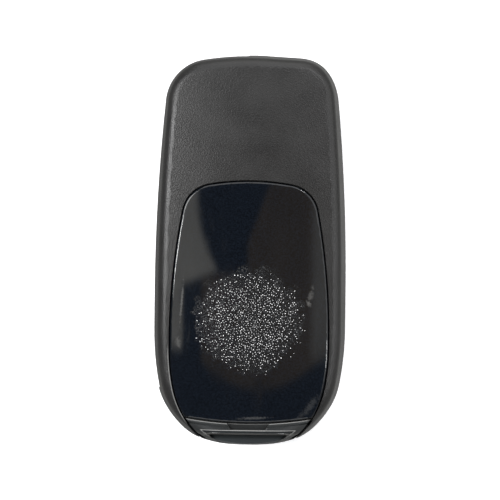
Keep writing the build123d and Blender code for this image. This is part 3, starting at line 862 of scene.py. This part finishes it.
def fillTail(mesh):
    walls = tailWalls
    for vertex in mesh.vertices:
        x, y = abs(vertex.co.x) / mm, vertex.co.y / mm
        if y > tailPlan["haunch"][0][1]:
            continue
        place, depth = acrossTail(x, y)
        share = clamped((place - walls["thickFrom"]) / walls["change"])
        reach = walls["thin"] + (walls["thick"] - walls["thin"]) * share
        y -= eased(1 - depth / reach) * tailStepAt(place)
        vertex.co.y = max(y * mm, cadBox[0][1])


def fillCorner(mesh, bulge):
    for vertex in mesh.vertices:
        x, y = vertex.co.x / mm, vertex.co.y / mm
        share = eased(1 - math.hypot(x - bulge["x"], y - bulge["y"]) / bulge["reach"])
        vertex.co.x = min((x + share * bulge["across"]) * mm, cadBox[1][0])
        vertex.co.y = min((y + share * bulge["along"]) * mm, cadBox[1][1])


def addPiece(name, mesh, body, material=None):
    if material:
        mesh.materials.clear()
        mesh.materials.append(material)
    piece = bpy.data.objects.new(name, mesh)
    bpy.context.collection.objects.link(piece)
    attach(piece, body)
    return piece


for name, (material, slot) in finishes.items():
    mesh = merged(nodes[name].data, name + "_dressed")
    if name in tailPieces:
        fillTail(mesh)
    if name in cornerPieces:
        fillCorner(mesh, cornerBulge)
    if name in crowned:
        polishCrown(mesh)
    piece = addPiece(name + "_dressed", mesh, bodyOf(name), material)
    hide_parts(name)
print("solids dressed:", len(finishes))


# turns an object with its modifiers into a plain mesh piece that rides on a body
def finished(source, name, body, material=None):
    depsgraph = bpy.context.evaluated_depsgraph_get()
    mesh = bpy.data.meshes.new_from_object(source.evaluated_get(depsgraph), depsgraph=depsgraph)
    mesh.name = name
    bpy.data.objects.remove(source)
    return addPiece(name, mesh, body, material)


# ---- the round patch of pale specks on the cover
speckSetup = {
    "centreX": 0.15 * mm,
    "centreY": -13.85 * mm,
    "radius": 11.1 * mm,
    "solidRadius": 6.2 * mm,
    "headLimit": 9.4 * mm,
    "gap": 0.345 * mm,
    "perSquareMetre": 2.0e7,
    "smallest": 0.048 * mm,
    "largest": 0.104 * mm,
    "seed": 11,
}
speckShape = {"roundest": 1.0, "longest": 1.3, "height": 0.3}
speckTones = {"shaded": (0.05, 0.05, 0.055), "bright": (0.98, 0.98, 0.97)}


def speckMaterial():
    material, tree, shader = blankMaterial("speckPaint")
    tone = noise(tree, millimetres(tree), grain=0.18, roughness=0.7)
    stops = ((0.42, speckTones["shaded"]), (0.52, speckTones["bright"]))
    feed(tree, shader, {
        "Base Color": shades(tree, tone, *stops),
        "Roughness": remap(tree, tone, 0.3, 0.7, 0.55, 0.3),
    })
    return material


def randomValue(tree, kind, inputs):
    node = addNode(tree, "FunctionNodeRandomValue", data_type=kind)
    feed(tree, node, inputs)
    return node.outputs[0 if kind == "FLOAT_VECTOR" else 1]


# scatters low domes over a disc and sets each on the crowned back
def speckTree(material):
    tree = bpy.data.node_groups.new("speckScatter", "GeometryNodeTree")
    addSocket = tree.interface.new_socket
    addSocket("Geometry", in_out="INPUT", socket_type="NodeSocketGeometry")
    for key in speckSetup:
        kind = "NodeSocketInt" if key == "seed" else "NodeSocketFloat"
        addSocket(key, in_out="INPUT", socket_type=kind)
    addSocket("Geometry", in_out="OUTPUT", socket_type="NodeSocketGeometry")
    given = addNode(tree, "NodeGroupInput").outputs
    disc = addNode(tree, "GeometryNodeMeshCircle", fill_type="NGON")
    feed(tree, disc, {"Vertices": 64, "Radius": given["radius"]})
    scatter = addNode(tree, "GeometryNodeDistributePointsOnFaces", distribute_method="POISSON")
    feed(tree, scatter, {
        "Mesh": disc.outputs["Mesh"],
        "Distance Min": given["gap"],
        "Density Max": given["perSquareMetre"],
        "Seed": given["seed"],
    })

    # thins out towards the rim, and ends along a straight line on the head side
    position = addNode(tree, "GeometryNodeInputPosition").outputs["Position"]
    x, y, _ = axes(tree, position)
    band = minus(tree, given["radius"], given["solidRadius"])
    chance = randomValue(tree, "FLOAT", {"Seed": given["seed"]})
    limit = plus(tree, given["solidRadius"], times(tree, band, chance))
    tooFar = maths(tree, "GREATER_THAN", lengthOf(tree, position), limit)
    pastLine = maths(tree, "GREATER_THAN", y, given["headLimit"])
    drop = addNode(tree, "GeometryNodeDeleteGeometry", domain="POINT")
    feed(tree, drop, {
        "Geometry": scatter.outputs["Points"],
        "Selection": larger(tree, tooFar, pastLine),
    })

    # the height of the crown under each point, by the same rule as crownAt
    x = plus(tree, x, given["centreX"])
    y = plus(tree, y, given["centreY"])
    arm = maths(tree, "SQRT", minus(tree, crown["across"] ** 2, times(tree, x, x)))
    swing = plus(tree, arm, crown["along"] - crown["across"])
    rise = maths(tree, "SQRT", minus(tree, times(tree, swing, swing), times(tree, y, y)))
    z = plus(tree, rise, crown["top"] - crown["along"])
    lift = addNode(tree, "GeometryNodeSetPosition")
    feed(tree, lift, {
        "Geometry": drop.outputs["Geometry"],
        "Position": asVector(tree, x, y, z),
    })

    dome = addNode(tree, "GeometryNodeMeshIcoSphere")
    feed(tree, dome, {"Radius": 1, "Subdivisions": 1})
    size = randomValue(tree, "FLOAT", {2: given["smallest"], 3: given["largest"]})
    stretch = randomValue(tree, "FLOAT", {2: speckShape["roundest"], 3: speckShape["longest"]})
    low = times(tree, size, speckShape["height"])
    place = addNode(tree, "GeometryNodeInstanceOnPoints")
    feed(tree, place, {
        "Points": lift.outputs["Geometry"],
        "Instance": dome.outputs["Mesh"],
        "Rotation": randomValue(tree, "FLOAT_VECTOR", {1: (0, 0, 2 * math.pi)}),
        "Scale": asVector(tree, size, times(tree, size, stretch), low),
    })
    realize = addNode(tree, "GeometryNodeRealizeInstances")
    feed(tree, realize, {"Geometry": place.outputs["Instances"]})
    paint = addNode(tree, "GeometryNodeSetMaterial")
    feed(tree, paint, {"Geometry": realize.outputs["Geometry"], "Material": material})
    out = addNode(tree, "NodeGroupOutput")
    feed(tree, out, {"Geometry": paint.outputs["Geometry"]})
    return tree


# gives an object a node tree, and sets the tree's inputs by their identifiers
def growOn(name, tree, values):
    carrier = bpy.data.objects.new(name, bpy.data.meshes.new(name))
    bpy.context.collection.objects.link(carrier)
    modifier = carrier.modifiers.new("grow", "NODES")
    modifier.node_group = tree
    for item in tree.interface.items_tree:
        if item.in_out == "INPUT" and item.name in values:
            modifier[item.identifier] = values[item.name]
    return carrier


specks = growOn("coverSpecks", speckTree(speckMaterial()), speckSetup)
specks = finished(specks, "coverSpecks", "cover")
print("specks:", len(specks.data.polygons))


# ---- printed signs on the keys, drawn as strokes in millimetres about each key's middle
# "dish" is the radius of the key's hollow face, and "faceZ" its height in the middle
signSetup = {"stroke": 0.13, "height": 0.02, "dish": 60.0, "faceZ": 0.3, "tones": (0.50, 0.62)}


def arc(centre, radius, start, end, steps=14):
    turns = [math.radians(start + (end - start) * step / steps) for step in range(steps + 1)]
    x, y = centre
    return [(x + radius * math.cos(turn), y + radius * math.sin(turn)) for turn in turns]


padlockBody = [(-1.3, -1.5), (1.3, -1.5), (1.3, 0.4), (-1.3, 0.4), (-1.3, -1.5)]
keyhole = [(0, -0.8), (0, -0.35)]
closedShackle = [(-0.85, 0.4), *arc((0, 0.95), 0.85, 180, 0), (0.85, 0.4)]
openShackle = [(0.85, 0.4), *arc((1.7, 0.95), 0.85, 180, 0), (2.55, 0.6)]
carRoof = [(-1.5, 0.3), (-0.7, 1.0), (0.9, 1.0), (1.6, 0.2)]
carSide = [(-2.6, -0.9), (-2.7, 0.0), *carRoof, (2.4, 0.1), (2.6, -0.9)]
carFloor = [(-1.0, -0.9), (1.0, -0.9)]
bootLid = [(1.0, 1.1), (2.3, 2.0), (2.9, 1.5)]
wheels = [arc((x, -0.9), 0.5, 0, 360) for x in (-1.5, 1.5)]
signs = {
    "lock_button": [padlockBody, keyhole, closedShackle],
    "unlock_button": [padlockBody, keyhole, openShackle],
    "boot_button": [carSide, bootLid, carFloor, *wheels],
}


def signPaint():
    material, tree, shader = blankMaterial("signPaint")
    tone = noise(tree, millimetres(tree), grain=0.4, detail=3)
    dark, light = ((value, value, value) for value in signSetup["tones"])
    feed(tree, shader, {
        "Base Color": shades(tree, tone, (0.3, dark), (0.7, light)),
        "Roughness": remap(tree, tone, 0.3, 0.7, 0.45, 0.6),
    })
    return material


def drawSign(node, strokes, paint):
    low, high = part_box(node)
    middleY = (low[1] + high[1]) / 2
    curve = bpy.data.curves.new(node + "_sign", "CURVE")
    curve.dimensions = "3D"
    curve.bevel_depth = signSetup["stroke"] * mm
    curve.bevel_resolution = 1
    curve.use_fill_caps = True
    for stroke in strokes:
        line = curve.splines.new("POLY")
        line.points.add(len(stroke) - 1)
        for point, (x, y) in zip(line.points, stroke):
            point.co = (x * mm, y * mm, 0, 1)
    source = bpy.data.objects.new(node + "_sign", curve)
    bpy.context.collection.objects.link(source)
    piece = finished(source, node + "_sign", bodyOf(node), paint)
    # the round strokes are flattened, and laid on the hollow face
    for vertex in piece.data.vertices:
        x = vertex.co.x / mm
        face = signSetup["faceZ"] - x * x / signSetup["dish"] / 2
        flat = vertex.co.z / mm / signSetup["stroke"] * signSetup["height"]
        vertex.co.y += middleY
        vertex.co.z = (face + flat) * mm


signColour = signPaint()
for node, strokes in signs.items():
    drawSign(node, strokes, signColour)
print("signs drawn")


# ---- floor, lights and surroundings
floorSetup = {
    "size": 3.0,
    "tone": (0.90, 0.90, 0.90),
    "mottle": 0.985,
    "grain": 60,
    "rough": 0.9,
    "gloss": 0.1,
    "lift": 0.42,
}


def addFloor(setup):
    half = setup["size"] / 2
    mesh = bpy.data.meshes.new("floor")
    corners = [(-half, -half, 0), (half, -half, 0), (half, half, 0), (-half, half, 0)]
    mesh.from_pydata(corners, [], [(0, 1, 2, 3)])
    material, tree, shader = blankMaterial("floorPaper")
    fibres = noise(tree, millimetres(tree), setup["grain"])
    tone = setup["tone"]
    feed(tree, shader, {
        "Base Color": shades(tree, fibres, (0.3, toned(setup["mottle"], tone)), (0.7, tone)),
        "Roughness": setup["rough"],
        "Specular IOR Level": setup["gloss"],
        "Emission Color": (1, 1, 1),
        "Emission Strength": setup["lift"],
    })
    mesh.materials.append(material)
    floor = bpy.data.objects.new("floor", mesh)
    bpy.context.collection.objects.link(floor)
    floor.visible_glossy = False  # the room, not the bright paper, shows in the steep shoulders


addFloor(floorSetup)

# tilt is measured from straight up, heading from +X towards +Y; glow is what a mirror would show
lampDistance = 0.8
softboxes = {
    "leftKey": {"tilt": 45, "heading": 161, "width": 0.38, "height": 0.56, "glow": 8.4},
    "leftSpark": {"tilt": 46, "heading": 176, "width": 0.11, "height": 0.06, "glow": 64},
    "cornerSpark": {"tilt": 47, "heading": 50, "width": 0.08, "height": 0.05, "glow": 50},
    "rightSpark": {"tilt": 47, "heading": 346, "width": 0.06, "height": 0.05, "glow": 50},
    "rightBox": {"tilt": 54, "heading": 14, "width": 0.8, "height": 0.95, "glow": 1.35},
    "headBox": {"tilt": 56, "heading": 90, "width": 0.8, "height": 1.05, "glow": 1.7},
    "tailBox": {"tilt": 54, "heading": 270, "width": 0.7, "height": 0.5, "glow": 1.6},
}


def addSoftbox(name, setup):
    light = bpy.data.lights.new(name, "AREA")
    light.shape = "RECTANGLE"
    light.size = setup["width"]
    light.size_y = setup["height"]
    light.energy = setup["glow"] * math.pi * setup["width"] * setup["height"]
    lamp = bpy.data.objects.new(name, light)
    tilt = math.radians(setup["tilt"])
    heading = math.radians(setup["heading"])
    east, north = math.cos(heading), math.sin(heading)
    outward = Vector((math.sin(tilt) * east, math.sin(tilt) * north, math.cos(tilt)))
    lamp.location = outward * lampDistance
    lamp.rotation_euler = outward.to_track_quat("Z", "Y").to_euler()
    bpy.context.collection.objects.link(lamp)


for name, setup in softboxes.items():
    addSoftbox(name, setup)

# The room over the key. Its soft shapes are placed where they show in the cover: "across" and
# "along" turn a direction near straight up into the millimetres of the cover that mirror it. An
# edge is a place and a width; a curve is a centre, then its base, slope and bend there.
roomSetup = {
    "across": 50.1,
    "along": 137.4,
    "lowest": 0.05,
    "near": (36.4, 15.6),
    "cloud": 0.16,
    "uneven": (0.82, 1.16),
    "dark": (0.10, 0.125, 0.18),
    "horizon": (0.22, 0.22, 0.22),
    "below": (0.34, 0.34, 0.33),
    "backdrop": (0.93, 0.93, 0.93),
}
ceilingSetup = {
    "tone": (0.38, 0.31, 0.25),
    "leftSlope": 0.36,
    "leftBase": -0.9,
    "leftLimit": -0.4,
    "leftEdge": (0, 1.4),
    "lowEdge": (-5, 3),
    "lowLeftEdge": (-9.5, 1.5),
    "tailCurve": (2.2, -27.8, 0, 0.038),
    "tailEdge": (0, 2.2),
}
rightWallSetup = {"tone": (0.78, 0.75, 0.70), "leftEdge": (12.6, 2.6), "tailEdge": (-22, 5)}
windowSetup = {
    "tone": (1.34, 1.32, 1.24),
    "curve": (8, -10.4, -0.10, 0.0195),
    "rightEdge": (0, 1.8),
    "tailSlope": 0.42,
    "tailEdge": (-1.4, 2.4),
    "stripEdge": (-13.4, 1.0),
    "stripTail": (-20, 4),
}
paleWallSetup = {
    "tone": (0.46, 0.46, 0.45),
    "east": 0.90,
    "north": 0.35,
    "sideEdge": (0.15, 0.5),
    "topEdge": (0.5, 0.3),
}


# a soft step, from 0 below a place to 1 above it
def above(tree, value, place, width):
    return remap(tree, value, place - width / 2, place + width / 2, smooth=True)


def below(tree, value, place, width):
    return minus(tree, 1, above(tree, value, place, width))


def parabola(tree, value, centre, base, slope, bend):
    away = minus(tree, value, centre)
    return plus(tree, times(tree, away, away, bend), times(tree, away, slope), base)


# warm ceiling, bounded by a slanting edge on the left and a curved one towards the tail
def ceilingShare(tree, x, y, setup):
    slanting = plus(tree, times(tree, y, setup["leftSlope"]), setup["leftBase"])
    leftEdge = larger(tree, slanting, setup["leftLimit"])
    right = above(tree, minus(tree, x, leftEdge), *setup["leftEdge"])
    low = times(tree, below(tree, y, *setup["lowEdge"]), above(tree, x, *setup["lowLeftEdge"]))
    tailEdge = parabola(tree, x, *setup["tailCurve"])
    past = above(tree, minus(tree, y, tailEdge), *setup["tailEdge"])
    return times(tree, larger(tree, right, low), past)


def rightWallShare(tree, x, y, setup):
    return times(tree, above(tree, x, *setup["leftEdge"]), above(tree, y, *setup["tailEdge"]))


# the window on the left, which ends in a narrow strip
def windowShare(tree, x, y, setup):
    rightEdge = parabola(tree, y, *setup["curve"])
    tail = minus(tree, y, times(tree, x, setup["tailSlope"]))
    pane = times(
        tree,
        below(tree, minus(tree, x, rightEdge), *setup["rightEdge"]),
        above(tree, tail, *setup["tailEdge"]),
    )
    strip = times(tree, below(tree, x, *setup["stripEdge"]), above(tree, y, *setup["stripTail"]))
    return larger(tree, pane, strip)


# a pale wall low on the right and past the head, which the rounded edges mirror there
def paleWallShare(tree, east, north, height, setup):
    side = plus(tree, times(tree, east, setup["east"]), times(tree, north, setup["north"]))
    low = below(tree, height, *setup["topEdge"])
    return times(tree, above(tree, side, *setup["sideEdge"]), low)


# a dim room for the reflections; where the camera looks past the floor it sees a pale backdrop
def addRoom(setup):
    world = bpy.data.worlds.new("room")
    bpy.context.scene.world = world
    world.use_nodes = True
    tree = world.node_tree
    direction = addNode(tree, "ShaderNodeTexCoord").outputs["Generated"]
    east, north, height = axes(tree, direction)
    rise = larger(tree, height, setup["lowest"])
    x = times(tree, maths(tree, "DIVIDE", east, rise), setup["across"])
    y = times(tree, maths(tree, "DIVIDE", north, rise), setup["along"])

    # the shapes end a little past what the cover mirrors
    far = maths(tree, "SQRT", plus(tree, times(tree, x, x), times(tree, y, y)))
    near = below(tree, far, *setup["near"])
    stops = ((0.0, setup["below"]), (0.5, setup["horizon"]), (1.0, setup["dark"]))
    room = shades(tree, remap(tree, height, -1, 1), *stops)
    for shareOf, shape in (
        (ceilingShare, ceilingSetup),
        (rightWallShare, rightWallSetup),
        (windowShare, windowSetup),
    ):
        room = mixColour(tree, times(tree, shareOf(tree, x, y, shape), near), room, shape["tone"])
    wall = paleWallShare(tree, east, north, height, paleWallSetup)
    room = mixColour(tree, wall, room, paleWallSetup["tone"])

    clouds = noise(tree, direction, setup["cloud"], detail=3)
    uneven = remap(tree, clouds, 0.3, 0.7, *setup["uneven"])
    dim = addNode(tree, "ShaderNodeVectorMath", operation="SCALE")
    feed(tree, dim, {0: room, "Scale": uneven})
    seen = addNode(tree, "ShaderNodeLightPath").outputs["Is Camera Ray"]
    colour = mixColour(tree, seen, dim.outputs["Vector"], setup["backdrop"])
    feed(tree, tree.nodes["Background"], {"Color": colour})


addRoom(roomSetup)
bpy.context.scene.view_settings.view_transform = "Standard"
print("lights ready")
